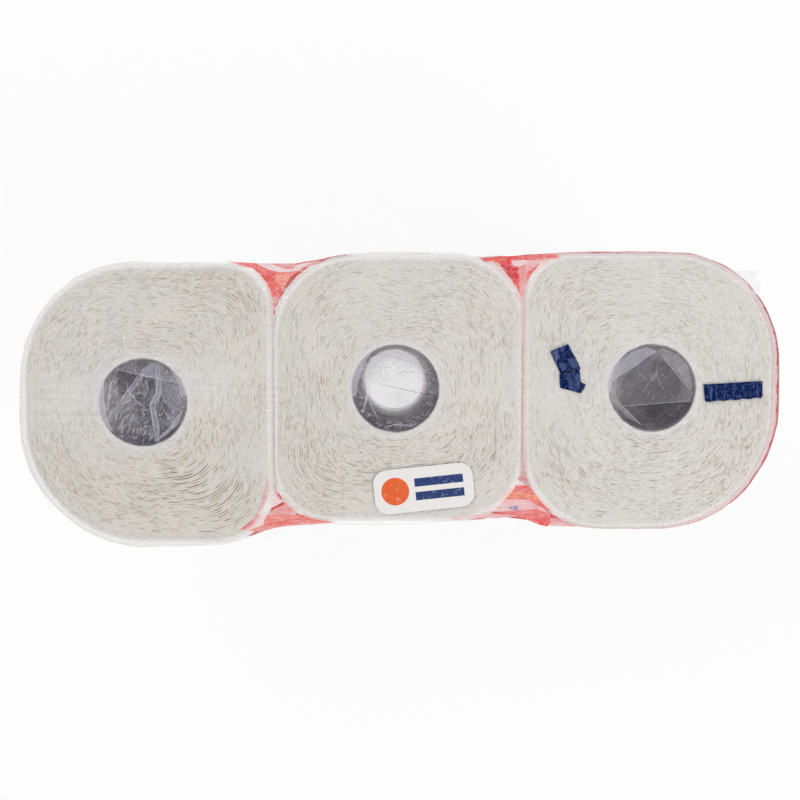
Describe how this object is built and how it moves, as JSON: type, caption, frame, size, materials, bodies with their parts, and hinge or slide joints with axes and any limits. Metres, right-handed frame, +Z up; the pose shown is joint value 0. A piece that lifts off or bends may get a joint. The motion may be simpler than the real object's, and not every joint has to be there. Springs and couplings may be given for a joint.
{
  "type": "toilet paper roll pack",
  "caption": "Sealed clear film pack of soft white tissue rolls standing side by side in two layers, with a coloured print round its sides.",
  "frame": {"origin": "middle of the footprint, on the surface that the pack stands on", "axes": "+Z up, along the rolls' axes; +X along the row of rolls, to the right; -Y is the front"},
  "size_m": [0.3416, 0.1318, 0.194],
  "materials": {
    "film": "thin clear shrink film, glossy and creased, with a red printed band round the sides",
    "paper": "soft white tissue, with fine uneven turns showing on the ends",
    "card": "thin grey card tube, matt"
  },
  "bodies": {
    "root": {"film_wrap": "film", "paper_roll_lower_left": "paper", "card_core_lower_left": "card", "paper_roll_lower_middle": "paper", "card_core_lower_middle": "card", "paper_roll_lower_right": "paper", "card_core_lower_right": "card", "paper_roll_upper_left": "paper", "card_core_upper_left": "card", "paper_roll_upper_middle": "paper", "card_core_upper_middle": "card", "paper_roll_upper_right": "paper", "card_core_upper_right": "card"}
  },
  "joints": []
}
